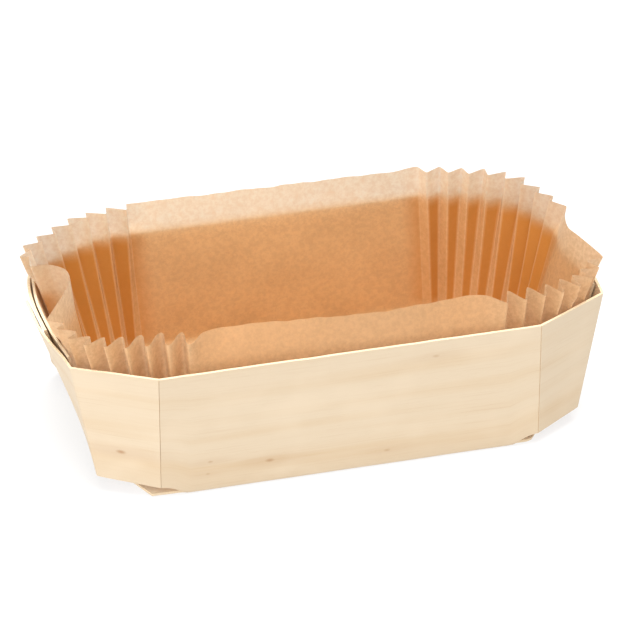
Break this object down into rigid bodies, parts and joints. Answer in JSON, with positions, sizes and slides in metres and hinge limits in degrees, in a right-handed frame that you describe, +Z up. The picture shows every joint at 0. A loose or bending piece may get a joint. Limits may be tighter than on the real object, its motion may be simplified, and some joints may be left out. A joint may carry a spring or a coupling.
{
  "type": "loaf mould",
  "caption": "Octagonal loaf mould folded from thin wood veneer, with lapped end plies and a loose pleated baking-paper liner that lifts out.",
  "frame": {"origin": "on the surface the mould stands on, at the middle of its bottom sheet", "axes": "+X along the mould, towards its right end; +Y from the front long wall to the back one; +Z up, out of the open top"},
  "size_m": [0.2066, 0.102, 0.0625],
  "materials": {
    "poplar_veneer": "matte",
    "baking_paper": "satin"
  },
  "bodies": {
    "tray": {"bottom_sheet": "poplar_veneer", "front_wall": "poplar_veneer", "back_wall": "poplar_veneer", "front_left_corner_panel": "poplar_veneer", "back_left_corner_panel": "poplar_veneer", "left_front_end_ply": "poplar_veneer", "left_back_end_ply": "poplar_veneer", "left_end_flap": "poplar_veneer", "front_right_corner_panel": "poplar_veneer", "back_right_corner_panel": "poplar_veneer", "right_front_end_ply": "poplar_veneer", "right_back_end_ply": "poplar_veneer", "right_end_flap": "poplar_veneer"},
    "liner": {"paper_liner": "baking_paper"}
  },
  "joints": [
    {"name": "liner_lift", "type": "slide", "parent": "tray", "child": "liner", "axis": [0, 0, 1], "range_m": [0, 0.06]}
  ]
}
